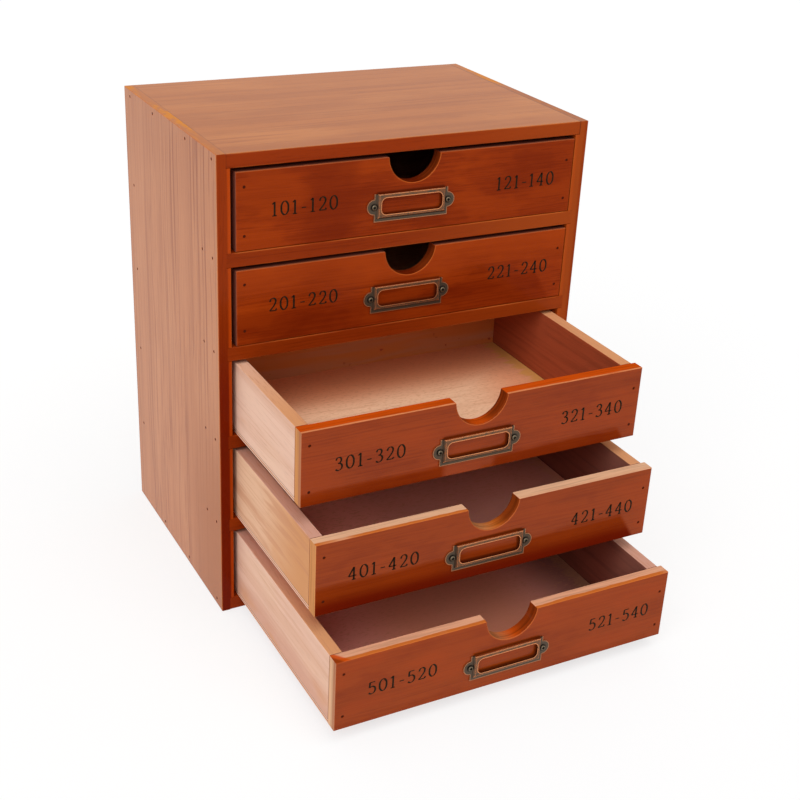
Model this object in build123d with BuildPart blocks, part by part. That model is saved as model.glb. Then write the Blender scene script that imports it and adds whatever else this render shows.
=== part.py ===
"""Small wooden cabinet: a rabbeted and nailed carcass that holds one column of sliding drawers.

Lengths are in millimetres. +X points to the right, -Y to the front and +Z up, and the origin is the middle of
the carcass's underside. Drawers are counted from the top, and each is drawn where it rests: the upper two are
shut and the lower three stand open.
"""

import os

from build123d import *

# Carcass
cabinet_width = 250.0
cabinet_depth = 170.0
cabinet_height = 305.0
side_thickness = 8.5
top_thickness = 8.5
bottom_thickness = 9.0
back_thickness = 4.0
rail_thickness = 9.0
rail_depth = 16.0
runner_width = 18.0
housing_depth = 2.8
edge_round = 0.6

# Drawers
drawer_open_shares = (0.0, 0.0, 0.585, 0.72, 0.9)
front_thickness = 8.5
drawer_side_thickness = 8.0
drawer_back_thickness = 8.0
drawer_bottom_thickness = 2.5
front_gap_left = 2.95
front_gap_right = 0.55
front_gap_top = 2.6
box_step_right = 2.5
ride_clearance = 0.3
rear_clearance = 2.0
notch_width = 34.6
notch_depth = 16.8
notch_shoulder_round = 0.7

# Label holders, stamped from sheet, and their screws
holder_width = 50.2
holder_height = 17.5
holder_flange = 1.6
holder_lip = 2.0
holder_rise = 2.2
holder_bevel = 1.2
holder_sheet = 0.7
holder_level = 16.9
holder_shift = 1.6
holder_top_bar = 2.4
holder_side_bar = 1.5
holder_bottom_bar = 1.5
holder_window_round = 3.3
holder_edge_round = 0.25
ear_radius = 4.8
ear_lift = 0.7
screw_diameter = 1.8
screw_length = 7.0
screw_head_diameter = 3.5
screw_head_height = 1.1
screw_head_round = 0.8
screw_slot_length = 2.2
screw_slot_width = 0.55
screw_slot_depth = 0.6

# Nails
nail_diameter = 1.2
nail_length = 18.0
nail_head_diameter = 1.8
nail_head_height = 0.6
nail_set = 0.3
runner_nail_inset = 9.0
top_nail_shares = (0.044, 0.304, 0.658, 0.929)
bottom_nail_shares = (0.056, 0.373, 0.672)
front_nail_left_share = 0.65
front_nail_right_share = 0.3
front_nail_low_share = 0.19
front_nail_high_left_share = 0.81
front_nail_high_right_share = 0.72

# Fits and cuts
fastener_clearance = 0.05
overrun = 1.0

# Sizes that follow from those above
drawer_count = len(drawer_open_shares)
opening_width = cabinet_width - 2 * side_thickness
housed_width = opening_width + 2 * housing_depth
inner_height = cabinet_height - bottom_thickness - top_thickness
bay_height = (inner_height - (drawer_count - 1) * rail_thickness) / drawer_count
bay_pitch = bay_height + rail_thickness
front_edge = -cabinet_depth / 2
rear_edge = cabinet_depth / 2
runner_length = cabinet_depth - rail_depth - back_thickness
cut_length = cabinet_depth + 2 * overrun

front_width = opening_width - front_gap_left - front_gap_right
front_height = bay_height - front_gap_top - ride_clearance
front_left = -opening_width / 2 + front_gap_left
front_right = front_left + front_width
front_middle = front_left + front_width / 2
drawer_length = cabinet_depth - back_thickness - rear_clearance
box_right = front_right - box_step_right
box_width = box_right - front_left
box_length = drawer_length - front_thickness
box_height = front_height - drawer_bottom_thickness
notch_radius = (notch_width**2 / 4 + notch_depth**2) / (2 * notch_depth)

holder_middle = front_middle - holder_shift
foot_width = holder_width - 2 * holder_flange
foot_height = holder_height - holder_lip
face_width = foot_width - 2 * holder_bevel
face_height = foot_height - holder_bevel
window_width = face_width - 2 * holder_side_bar
window_height = face_height - holder_top_bar - holder_bottom_bar
pocket_width = foot_width - holder_sheet
pocket_height = foot_height - holder_sheet / 2 + overrun
pocket_rise = holder_rise - holder_sheet
screw_offset = foot_width / 2 + screw_head_diameter / 2 + fastener_clearance

nail_hole_radius = nail_diameter / 2 + fastener_clearance
nail_head_hole_radius = nail_head_diameter / 2 + fastener_clearance
nail_head_hole_depth = nail_set + nail_head_height + fastener_clearance
nail_hole_depth = nail_set + nail_length + fastener_clearance
screw_hole_radius = screw_diameter / 2 + fastener_clearance

# Outer faces of the side panels: local X runs along the depth, local Y is the height
left_face = Plane(origin=(-cabinet_width / 2, 0, 0), x_dir=(0, -1, 0), z_dir=(-1, 0, 0))
right_face = Plane(origin=(cabinet_width / 2, 0, 0), x_dir=(0, 1, 0), z_dir=(1, 0, 0))

# Which end of a cylinder or box lies at its place
below = (Align.CENTER, Align.CENTER, Align.MAX)
above = (Align.CENTER, Align.CENTER, Align.MIN)


def save(piece, name):
    """Label a finished piece and write it as its own node."""
    piece.part.label = name
    export_step(piece.part, f"parts/{name}.step")


def bay_floor(number):
    """Height of the surface that carries a drawer."""
    return bottom_thickness + (drawer_count - number) * bay_pitch


def rail_middle(number):
    """Height of the middle of the rail under a drawer."""
    return bay_floor(number) - rail_thickness / 2


# Where the carcass's nails go: depth behind the front edge, and height
top_nails = [(share * cabinet_depth, cabinet_height - top_thickness / 2) for share in top_nail_shares]
bottom_nails = [(share * cabinet_depth, bottom_thickness / 2) for share in bottom_nail_shares]
rail_numbers = range(1, drawer_count)
runner_nail_depths = (rail_depth + runner_nail_inset, rail_depth + runner_length - runner_nail_inset)


def rail_nails(number):
    """The nail that holds one end of a rail."""
    return [(rail_depth / 2, rail_middle(number))]


def runner_nails(number):
    """The two nails that hold a runner."""
    return [(depth, rail_middle(number)) for depth in runner_nail_depths]


carcass_nail_points = top_nails + bottom_nails
for number in rail_numbers:
    carcass_nail_points = carcass_nail_points + rail_nails(number) + runner_nails(number)


def left_places(points):
    """Nail places on the left side panel's outer face."""
    return [left_face.location * Pos(rear_edge - depth, height) for depth, height in points]


def right_places(points):
    """Nail places on the right side panel's outer face."""
    return [right_face.location * Pos(depth - rear_edge, height) for depth, height in points]


def nails(places):
    """Nails at the given places, each head sunk a little below the surface."""
    with Locations(*[place * Pos(0, 0, -nail_set) for place in places]):
        Cylinder(nail_head_diameter / 2, nail_head_height, align=below)
        Cylinder(nail_diameter / 2, nail_length, align=below)


def side_panel():
    """Left side panel with its rabbets, housings and nail holes."""
    with BuildPart() as panel:
        with BuildSketch(left_face):
            with Locations((0, cabinet_height / 2)):
                Rectangle(cabinet_depth, cabinet_height)
        extrude(amount=-side_thickness)
        outer_edges = panel.faces().sort_by(Axis.X)[0].edges()
        inner_front_edge = panel.edges().filter_by(Axis.Z).group_by(Axis.Y)[0].sort_by(Axis.X)[-1]
        fillet(outer_edges + [inner_front_edge], edge_round)
        with BuildSketch(left_face.offset(housing_depth - side_thickness)):
            with Locations((0, cabinet_height - top_thickness)):
                Rectangle(cut_length, top_thickness + overrun, align=(Align.CENTER, Align.MIN))
            with Locations((0, bottom_thickness)):
                Rectangle(cut_length, bottom_thickness + overrun, align=(Align.CENTER, Align.MAX))
            with Locations(*[(0, rail_middle(number)) for number in rail_numbers]):
                Rectangle(cut_length, rail_thickness)
            with Locations((back_thickness - rear_edge, bottom_thickness + inner_height / 2)):
                Rectangle(back_thickness + overrun, inner_height, align=(Align.MAX, Align.CENTER))
        extrude(amount=-housing_depth - overrun, mode=Mode.SUBTRACT)
        with Locations(*left_places(carcass_nail_points)):
            CounterBoreHole(nail_hole_radius, nail_head_hole_radius, nail_head_hole_depth, nail_hole_depth)
    return panel


def cross_board(depth, thickness, base, nail_points):
    """Board between the side panels, let into both of them, with its long front edges eased."""
    with BuildPart() as board:
        with BuildSketch(Plane.XZ.offset(-front_edge)):
            with Locations((0, base)):
                Rectangle(housed_width, thickness, align=(Align.CENTER, Align.MIN))
        extrude(amount=-depth)
        fillet(board.edges().filter_by(Axis.X).group_by(Axis.Y)[0], edge_round)
        with Locations(*left_places(nail_points), *right_places(nail_points)):
            Hole(nail_hole_radius, nail_hole_depth)
    return board


def left_runner(number):
    """Strip behind a rail's left end, in the same housing, that carries a drawer's side."""
    with BuildPart() as runner:
        with BuildSketch(Plane.XZ.offset(-front_edge - rail_depth)):
            with Locations((-housed_width / 2, rail_middle(number))):
                Rectangle(runner_width, rail_thickness, align=(Align.MIN, Align.CENTER))
        extrude(amount=-runner_length)
        with Locations(*left_places(runner_nails(number))):
            Hole(nail_hole_radius, nail_hole_depth)
    return runner


def mirrored(piece):
    """The same piece on the other side of the cabinet."""
    with BuildPart() as twin:
        mirror(piece.part, about=Plane.YZ)
    return twin


def drawer_plane(number):
    """Front face of a drawer: local X is the cabinet's X, local Y its height, and local Z points out."""
    return Plane.XZ.offset(drawer_open_shares[number - 1] * drawer_length - front_edge)


def drawer_base(number):
    """Height of a drawer's underside."""
    return bay_floor(number) + ride_clearance


def front_nail_places(number):
    """Two nails near each end of a drawer's front, driven into the ends of its sides."""
    left = front_left + front_nail_left_share * drawer_side_thickness
    right = box_right - front_nail_right_share * drawer_side_thickness
    points = [
        (left, front_nail_low_share),
        (left, front_nail_high_left_share),
        (right, front_nail_low_share),
        (right, front_nail_high_right_share),
    ]
    base = drawer_base(number)
    surface = drawer_plane(number).location
    return [surface * Pos(across, base + share * front_height) for across, share in points]


def screw_places(number):
    """The two label screws, on the surface of the drawer's front."""
    height = drawer_base(number) + holder_level + ear_lift
    surface = drawer_plane(number).location
    return [surface * Pos(holder_middle + side * screw_offset, height) for side in (-1, 1)]


def drawer_front(number):
    """Front board with a half-round finger notch in its top edge."""
    base = drawer_base(number)
    notch_mouth = Vector(front_middle, base + front_height)
    with BuildPart() as front:
        with BuildSketch(drawer_plane(number)) as outline:
            with Locations((front_middle, base)):
                Rectangle(front_width, front_height, align=(Align.CENTER, Align.MIN))
            with Locations((front_middle, base + front_height - notch_depth + notch_radius)):
                Circle(notch_radius, mode=Mode.SUBTRACT)
            fillet(outline.vertices().sort_by_distance(notch_mouth)[:2], notch_shoulder_round)
        extrude(amount=-front_thickness)
        faces = front.faces().sort_by(Axis.Y)
        fillet(faces[0].edges() + faces[-1].edges(), edge_round)
        with Locations(*front_nail_places(number)):
            CounterBoreHole(nail_hole_radius, nail_head_hole_radius, nail_head_hole_depth, nail_hole_depth)
        with Locations(*screw_places(number)):
            Hole(screw_hole_radius, screw_length)
    return front


def drawer_side(number, left):
    """Side board behind the front, nailed through the front into its end."""
    with BuildPart() as side:
        with BuildSketch(drawer_plane(number).offset(-front_thickness)):
            with Locations((left, drawer_base(number) + drawer_bottom_thickness)):
                Rectangle(drawer_side_thickness, box_height, align=(Align.MIN, Align.MIN))
        extrude(amount=-box_length)
        fillet(side.edges().filter_by(Axis.Y).group_by(Axis.Z)[-1], edge_round)
        with Locations(*front_nail_places(number)):
            Hole(nail_hole_radius, nail_hole_depth)
    return side


def drawer_back(number):
    """Back board between the two sides."""
    base = drawer_base(number) + drawer_bottom_thickness
    with BuildPart() as back:
        with BuildSketch(drawer_plane(number).offset(-drawer_length)):
            with Locations((front_left + drawer_side_thickness, base)):
                Rectangle(box_width - 2 * drawer_side_thickness, box_height, align=(Align.MIN, Align.MIN))
        extrude(amount=drawer_back_thickness)
        fillet(back.edges().filter_by(Axis.X).group_by(Axis.Z)[-1], edge_round)
    return back


def drawer_bottom(number):
    """Thin plywood under the sides and the back."""
    with BuildPart() as bottom:
        with BuildSketch(drawer_plane(number).offset(-front_thickness)):
            with Locations((front_left, drawer_base(number))):
                Rectangle(box_width, drawer_bottom_thickness, align=(Align.MIN, Align.MIN))
        extrude(amount=-box_length)
    return bottom


def label_holder(number):
    """Plate with an ear at each end and a raised frame, which has a window and a pocket open at the top."""
    plane = drawer_plane(number)
    level = drawer_base(number) + holder_level
    top = level + holder_height / 2
    ears = [(holder_middle + side * holder_width / 2, level + ear_lift) for side in (-1, 1)]
    upright = (Align.CENTER, Align.MAX)
    with BuildPart() as holder:
        with BuildSketch(plane.offset(holder_sheet)):
            with Locations((holder_middle, top)):
                Rectangle(foot_width, foot_height, align=upright)
        with BuildSketch(plane.offset(holder_rise)):
            with Locations((holder_middle, top)):
                Rectangle(face_width, face_height, align=upright)
        loft()
        fillet(holder.faces().sort_by(Axis.Y)[0].edges(), holder_edge_round)
        with BuildSketch(plane):
            with Locations((holder_middle, top)):
                Rectangle(holder_width, holder_height, align=upright)
            with Locations(*ears):
                Circle(ear_radius)
        extrude(amount=holder_sheet)
        with BuildSketch(plane):
            with Locations((holder_middle, top + overrun)):
                Rectangle(pocket_width, pocket_height, align=upright)
        with BuildSketch(plane.offset(pocket_rise)):
            with Locations((holder_middle, top + overrun)):
                Rectangle(pocket_width - 2 * holder_bevel, pocket_height - holder_bevel, align=upright)
        loft(mode=Mode.SUBTRACT)
        with BuildSketch(plane.offset(holder_rise)):
            with Locations((holder_middle, top - holder_top_bar - window_height / 2)):
                RectangleRounded(window_width, window_height, holder_window_round)
        extrude(amount=-holder_rise, mode=Mode.SUBTRACT)
        with Locations(*[place * Pos(0, 0, holder_sheet) for place in screw_places(number)]):
            Hole(screw_hole_radius, holder_sheet)
    return holder


def label_screws(number):
    """Two round-headed screws with a cross slot, through the holder's ears into the front."""
    seats = [place * Pos(0, 0, holder_sheet) for place in screw_places(number)]
    crowns = [seat * Pos(0, 0, screw_head_height) for seat in seats]
    with BuildPart() as screws:
        with Locations(*seats):
            Cylinder(screw_head_diameter / 2, screw_head_height, align=above)
        fillet(screws.faces().sort_by(Axis.Y)[: len(seats)].edges(), screw_head_round)
        with Locations(*seats):
            Cylinder(screw_diameter / 2, screw_length, align=below)
        with Locations(*crowns):
            Box(screw_slot_length, screw_slot_width, screw_slot_depth, align=below, mode=Mode.SUBTRACT)
            Box(screw_slot_width, screw_slot_length, screw_slot_depth, align=below, mode=Mode.SUBTRACT)
    return screws


def front_nails(number):
    """The nails through a drawer's front."""
    with BuildPart() as group:
        nails(front_nail_places(number))
    return group


def carcass_nails():
    """The nails through both side panels."""
    with BuildPart() as group:
        nails(left_places(carcass_nail_points) + right_places(carcass_nail_points))
    return group


def back_panel():
    """Thin panel in rabbets at the rear of the side panels, between the top and bottom boards."""
    with BuildPart() as panel:
        with BuildSketch(Plane.XZ.offset(-rear_edge)):
            with Locations((0, bottom_thickness)):
                Rectangle(housed_width, inner_height, align=(Align.CENTER, Align.MIN))
        extrude(amount=back_thickness)
    return panel


os.makedirs("parts", exist_ok=True)

left_side = side_panel()
save(left_side, "side_left")
save(mirrored(left_side), "side_right")
save(cross_board(cabinet_depth, top_thickness, cabinet_height - top_thickness, top_nails), "top_board")
save(cross_board(cabinet_depth, bottom_thickness, 0, bottom_nails), "bottom_board")
save(back_panel(), "back_panel")
for number in rail_numbers:
    rail_base = bay_floor(number) - rail_thickness
    save(cross_board(rail_depth, rail_thickness, rail_base, rail_nails(number)), f"rail_{number}")
    runner = left_runner(number)
    save(runner, f"runner_{number}_left")
    save(mirrored(runner), f"runner_{number}_right")
save(carcass_nails(), "carcass_nails")

for number in range(1, drawer_count + 1):
    save(drawer_front(number), f"drawer_{number}_front")
    save(drawer_side(number, front_left), f"drawer_{number}_side_left")
    save(drawer_side(number, box_right - drawer_side_thickness), f"drawer_{number}_side_right")
    save(drawer_back(number), f"drawer_{number}_back")
    save(drawer_bottom(number), f"drawer_{number}_bottom")
    save(label_holder(number), f"drawer_{number}_label_holder")
    save(label_screws(number), f"drawer_{number}_label_screws")
    save(front_nails(number), f"drawer_{number}_nails")
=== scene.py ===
"""Looks for a small stained wooden cabinet that holds one column of five sliding drawers.

Blender works in metres, and the finishes work in millimetres of the same frame: +X points to the right, -Y to
the front and +Z up. Drawers are counted from the top.
"""

import math
from typing import NamedTuple

import bmesh
import bpy
from bpy.props import FloatProperty, FloatVectorProperty, IntProperty, PointerProperty
from mathutils import Matrix, Vector


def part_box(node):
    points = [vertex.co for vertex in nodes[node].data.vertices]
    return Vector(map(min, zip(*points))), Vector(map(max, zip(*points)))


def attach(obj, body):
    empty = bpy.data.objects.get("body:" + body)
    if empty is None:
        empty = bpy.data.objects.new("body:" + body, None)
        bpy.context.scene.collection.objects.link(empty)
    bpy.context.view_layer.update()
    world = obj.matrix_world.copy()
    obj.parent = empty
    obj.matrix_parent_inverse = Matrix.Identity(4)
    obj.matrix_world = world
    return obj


bl_info = {
    "name": "Five-drawer cabinet finishes",
    "version": (1, 0, 0),
    "blender": (4, 5, 0),
    "location": "3D View > Sidebar > Cabinet",
    "description": "Stained and raw wood, bronze holders, printed numbers and a stage for a small drawer cabinet",
    "category": "Object",
}

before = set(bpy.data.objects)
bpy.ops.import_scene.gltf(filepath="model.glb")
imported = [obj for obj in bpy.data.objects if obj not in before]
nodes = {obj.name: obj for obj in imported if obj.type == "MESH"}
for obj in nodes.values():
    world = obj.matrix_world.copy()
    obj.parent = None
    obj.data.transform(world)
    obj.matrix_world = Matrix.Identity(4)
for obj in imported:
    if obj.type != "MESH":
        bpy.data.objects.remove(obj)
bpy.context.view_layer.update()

MM = 0.001
PER_METRE = 1000.0
DRAWERS = range(1, 6)
X, Y, Z = range(3)

# A face counts as pointing along an axis as its normal's share of that axis goes from the first to the second,
# and as an outermost one as its distance from the part's end, in millimetres, does so
FACING = (0.5, 0.8)
OUTERMOST = (0.9, 0.7)

# How far one step of a part's seed moves its noise along X, Y and Z
SEED_STEPS = (13.7, 5.3, 9.1)

COAT_ROUGHNESS = 0.14
BARE_ROUGHNESS = 0.75
BARE_SPECULAR = 0.1


def tint(red, green, blue):
    """Scene-linear colour of a swatch given in screen values from 0 to 255."""
    shares = (red / 255, green / 255, blue / 255)
    return tuple(s / 12.92 if s <= 0.04045 else ((s + 0.055) / 1.055) ** 2.4 for s in shares)


def swatch(label, note, red, green, blue):
    """Colour property with its default given in screen values."""
    return FloatVectorProperty(
        name=label, description=note, subtype="COLOR", size=3, min=0.0, max=1.0, default=tint(red, green, blue)
    )


def distance(label, note, millimetres):
    """Length property with its default given in millimetres."""
    return FloatProperty(
        name=label, description=note, default=millimetres * MM, unit="LENGTH", subtype="DISTANCE", precision=5
    )


def angle(label, note, degrees):
    """Angle property with its default given in degrees."""
    return FloatProperty(
        name=label, description=note, default=math.radians(degrees), unit="ROTATION", subtype="ANGLE"
    )


def fraction(label, note, amount):
    """Property that goes from 0 to 1."""
    return FloatProperty(name=label, description=note, default=amount, min=0.0, max=1.0, subtype="FACTOR")


class CABINET_PG_stain(bpy.types.PropertyGroup):
    """Colours of the stained and lacquered boards."""

    front_body: swatch("Front", "Main colour of the drawer fronts, rails and front edges", 144, 50, 10)
    front_deep: swatch("Front grain", "Darker grain of the drawer fronts", 112, 32, 5)
    front_glow: swatch("Front light", "Lighter patches of the drawer fronts", 164, 62, 12)
    front_warm: swatch("Front brown", "Browner stain of the lower fronts", 146, 63, 15)
    # Stands for a dark reflection painted along the fronts' lower edges, and for shade painted low on the left front
    # edge
    front_low: swatch("Front foot", "Stain that has run to the lower edge of a front", 100, 19, 3)
    side_body: swatch("Side", "Main colour of the side panels' outer faces", 190, 120, 74)
    side_deep: swatch("Side grain", "Darker grain of the side panels", 150, 78, 34)
    side_glow: swatch("Side light", "Lighter patches of the side panels", 204, 138, 92)
    side_low: swatch("Side foot", "Warmer stain low on the side panels' fronts", 166, 92, 36)
    edge: swatch("Front edges", "Golden stain on the carcass's front edges", 158, 68, 20)
    top_body: swatch("Top", "Main colour of the top board", 180, 103, 42)
    top_deep: swatch("Top grain", "Darker grain of the top board", 150, 78, 30)
    top_glow: swatch("Top light", "Lighter patches of the top board", 196, 120, 56)
    arris: swatch("Arris", "Stain worn thin along the arrises", 192, 98, 40)
    bright: swatch("Bright edge", "Stain on the third drawer's top edge and in the notches", 194, 74, 12)
    burnt: swatch("Burnt edge", "Stain drawn into end grain", 124, 48, 14)
    gilt: swatch("Orange line", "Stain that has crept over the front arris of a bare top edge", 192, 100, 34)
    gold: swatch("End grain", "Golden end grain on top of the side panels", 208, 128, 40)
    # Painted shade: darker colour for the two upper drawers' top edges and sawn ends, which sit in shade
    dusk: swatch("Dim edge", "Edges of the upper drawers, which the stain has greyed", 126, 70, 56)
    # Seam stain, also used for painted shade about the label holders and along the drawer sides' lower edges
    pore: swatch("Seams", "Stain held in pores and seams", 66, 22, 8)


class CABINET_PG_raw(bpy.types.PropertyGroup):
    """Colours of the unfinished wood and plywood."""

    pale: swatch("Pale wood", "Pale patches of the unfinished wood", 228, 190, 158)
    pink: swatch("Pink wood", "Pinkish unfinished wood of the drawer sides", 228, 188, 166)
    straw: swatch("Yellow wood", "Yellowish unfinished wood of the fourth drawer's sides", 222, 178, 146)
    deep: swatch("Raw grain", "Darker grain of the unfinished wood", 192, 132, 98)
    peach: swatch("Peach edge", "Top edge of the fifth drawer's front", 218, 158, 124)
    tan: swatch("Tan ends", "Sawn ends of the fronts", 220, 172, 136)
    amber: swatch("Amber ends", "Golden sawn ends and the stain on the fourth drawer's sides", 202, 139, 88)
    russet: swatch("Russet strip", "Stained strip along the sawn ends", 172, 112, 84)
    pine: swatch("Pine edge", "Orange top edges of the drawer sides", 208, 146, 100)
    mauve: swatch("Mauve edge", "Top edges of the fourth drawer's sides", 202, 150, 130)
    inner: swatch("Inner faces", "Thin wash on the drawers' inner faces", 162, 76, 46)
    inner_dim: swatch("Dim inner faces", "Thin wash on the lower drawers' inner faces", 130, 66, 52)
    ply_body: swatch("Plywood", "Main colour of the drawer bottoms", 236, 190, 154)
    ply_deep: swatch("Plywood grain", "Darker grain of the plywood", 188, 124, 88)
    # Painted shade: darker, redder plywood standing for the shade on the lower drawers' bottoms
    ply_shade_dim: swatch("Dim plywood", "Redder plywood of the lower drawers", 216, 137, 124)
    # Painted shade: redder plywood towards the back and right of the upper drawers' bottoms, most on the third
    ply_shade_warm: swatch("Warm plywood", "Redder plywood towards the back of the third drawer", 220, 142, 100)
    glue: swatch("Glue", "Golden glue along the plywood's joints", 210, 152, 78)
    gold_pine: swatch("Drawer back", "Golden wood of the drawers' backs", 202, 118, 60)


class CABINET_PG_metal(bpy.types.PropertyGroup):
    """Colours of the label holders, screws and nails, and of the printing ink."""

    patina: swatch("Patina", "Dark patina of the label holders", 84, 71, 58)
    brown: swatch("Brown", "Browned face of the label holders", 122, 80, 54)
    copper: swatch("Copper", "Copper that wear has laid bare", 246, 158, 102)
    screw: swatch("Screws", "Dark slots of the label screws", 58, 50, 42)
    rubbed: swatch("Screw rims", "Rubbed rims of the label screws", 118, 104, 84)
    nail: swatch("Nail heads", "Nail heads under the stain", 84, 34, 20)
    ink: swatch("Ink", "Printed numbers", 30, 23, 12)


class CABINET_PG_numbers(bpy.types.PropertyGroup):
    """Sizes of the printed numbers."""

    height: distance("Height", "Height of the figures", 8.2)
    baseline: distance("Baseline", "Foot of the figures above the front's lower edge", 19.4)
    left_inset: distance("Left inset", "From the front's left end to the middle of the left number", 43.0)
    right_inset: distance("Right inset", "From the front's right end to the middle of the right number", 35.0)
    spacing: fraction("Spacing", "Gap between figures as a share of their height", 0.26)
    ink_depth: distance("Ink", "How far the ink stands off the wood", 0.06)
    series: IntProperty(name="Series", description="How far the count goes up from drawer to drawer", default=100)
    share: IntProperty(name="Share", description="How many numbers one half of a drawer holds", default=20)


class CABINET_PG_stage(bpy.types.PropertyGroup):
    """Camera and light."""

    azimuth: angle("Azimuth", "How far left of the front the camera looks from", 28.731)
    elevation: angle("Elevation", "How far the camera looks down", 26.054)
    roll: angle("Roll", "How far the camera leans", 2.949)
    place: FloatVectorProperty(
        name="Camera", description="Where the camera stands", size=3, default=(-0.379049, -0.774838, 0.515491),
        unit="LENGTH", subtype="TRANSLATION",
    )
    lens: FloatProperty(
        name="Lens", description="Focal length in millimetres on a 36 mm wide sensor", default=60.603, unit="CAMERA"
    )
    ambient: FloatProperty(name="Ambient", description="Strength of the surrounding light", default=0.55)
    floor: swatch("Floor", "Colour of the floor", 250, 250, 250)
    floor_glow: fraction("Floor white", "How far the floor is washed out to plain white", 0.7)


class Wire:
    """One output of a node, so that sums and products of values read as plain expressions."""

    def __init__(self, graph, socket):
        self.graph = graph
        self.socket = socket

    def math(self, operation, *values):
        return self.graph.node("ShaderNodeMath", {"operation": operation}, dict(enumerate(values)))

    def __add__(self, other):
        return self.math("ADD", self, other)

    __radd__ = __add__

    def __sub__(self, other):
        return self.math("SUBTRACT", self, other)

    def __rsub__(self, other):
        return self.math("SUBTRACT", other, self)

    def __mul__(self, other):
        return self.math("MULTIPLY", self, other)

    __rmul__ = __mul__

    def __abs__(self):
        return self.math("ABSOLUTE", self)

    def least(self, other):
        return self.math("MINIMUM", self, other)

    def most(self, other):
        return self.math("MAXIMUM", self, other)

    def step(self, start, end):
        """Smooth step from 0 at start to 1 at end; start may be the larger one."""
        smooth = {"interpolation_type": "SMOOTHSTEP"}
        return self.graph.node("ShaderNodeMapRange", smooth, {0: self, 1: start, 2: end})

    def to(self, colour, factor):
        """This colour going over to another one as the factor goes from 0 to 1."""
        return self.graph.blend(self, colour, factor)

    def shade(self, factor):
        """This colour made darker or lighter by a value."""
        return self.graph.shade(self, factor)


class Graph:
    """A node tree that is built from nothing."""

    def __init__(self, tree):
        self.tree = tree
        tree.nodes.clear()

    def node(self, kind, settings=None, sockets=None, out=0):
        """New node with its settings, then the values or links of its sockets; gives one of its outputs, if any."""
        made = self.tree.nodes.new(kind)
        for key, value in (settings or {}).items():
            setattr(made, key, value)
        for key, value in (sockets or {}).items():
            socket = made.inputs[key]
            wires = value if isinstance(value, list) else [value]
            if isinstance(wires[0], Wire):
                for wire in wires:
                    self.tree.links.new(wire.socket, socket)
            elif socket.type == "RGBA":
                socket.default_value = (*value[:3], 1.0)
            else:
                socket.default_value = value
        return Wire(self, made.outputs[out]) if made.outputs else None

    def output(self, wire, key):
        """Another output of the node that a wire comes from."""
        return Wire(self, wire.socket.node.outputs[key])

    def split(self, vector):
        """The three numbers of a vector."""
        first = self.node("ShaderNodeSeparateXYZ", None, {0: vector})
        return [self.output(first, axis) for axis in (X, Y, Z)]

    def vector(self, operation, *values, out=0, **more):
        sockets = {**dict(enumerate(values)), **more}
        return self.node("ShaderNodeVectorMath", {"operation": operation}, sockets, out)

    def blend(self, first, second, factor):
        """First colour going over to the second as the factor goes from 0 to 1."""
        return self.node("ShaderNodeMix", {"data_type": "RGBA"}, {0: factor, 6: first, 7: second}, out=2)

    def shade(self, colour, factor):
        """Colour made darker or lighter by a value."""
        return self.vector("SCALE", colour, Scale=factor)

    def noise(self, place, detail=2.0, roughness=0.5, scale=1.0):
        sockets = {"Vector": place, "Scale": scale, "Detail": detail, "Roughness": roughness}
        return self.node("ShaderNodeTexNoise", None, sockets)


class Recipe(Graph):
    """The node tree of one material."""

    def __init__(self, name):
        self.material = bpy.data.materials.new(name)
        self.material.use_nodes = True
        super().__init__(self.material.node_tree)

    def places(self):
        """Places on the piece, in millimetres."""
        return self.vector("SCALE", self.node("ShaderNodeTexCoord", out="Object"), Scale=PER_METRE)

    def bump(self, height, depth):
        """Normal of a surface whose height, from 0 to 1, stands for a depth in millimetres."""
        return self.node("ShaderNodeBump", None, {"Strength": 1.0, "Distance": depth * MM, "Height": height})

    def surface(self, sockets):
        """Principled shader and material output; gives the finished material."""
        shader = self.node("ShaderNodeBsdfPrincipled", None, sockets)
        self.node("ShaderNodeOutputMaterial", None, {"Surface": shader})
        return self.material


class Part(Recipe):
    """Recipe of one part: its places in millimetres, its faces' directions and the distance from its ends."""

    def __init__(self, node, seed):
        super().__init__(node + "_finish")
        self.object = nodes[node]
        self.place = self.places()
        self.at = self.split(self.place)
        self.facing = self.split(self.node("ShaderNodeNewGeometry", out="Normal"))
        self.low, self.high = (corner * PER_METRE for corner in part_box(node))
        self.seed = Vector([seed * step for step in SEED_STEPS])

    def from_low(self, axis):
        """Distance from the part's lowest face along an axis."""
        return self.at[axis] - self.low[axis]

    def from_high(self, axis):
        """Distance from the part's highest face along an axis."""
        return self.high[axis] - self.at[axis]

    def from_ends(self, axis):
        """Distance from the nearer of these two faces."""
        return self.from_low(axis).least(self.from_high(axis))

    def scaled(self, place, sizes):
        factors = Vector([1 / s for s in sizes])
        return self.vector("MULTIPLY_ADD", place, factors, self.seed)

    def spots(self, sizes, detail=2.0):
        """Noise about 0.5 whose marks have these sizes along X, Y and Z, in millimetres."""
        return self.noise(self.scaled(self.place, sizes), detail)

    def faces(self, axis, way):
        """1 on faces that point along an axis, in the way that the sign gives."""
        return (self.facing[axis] * way).step(*FACING)

    def faces_either(self, axis):
        """1 on faces that point along an axis, in either way."""
        return abs(self.facing[axis]).step(*FACING)

    def top_face(self):
        """1 on the uppermost face."""
        return self.faces(Z, 1) * self.from_high(Z).step(*OUTERMOST)


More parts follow.
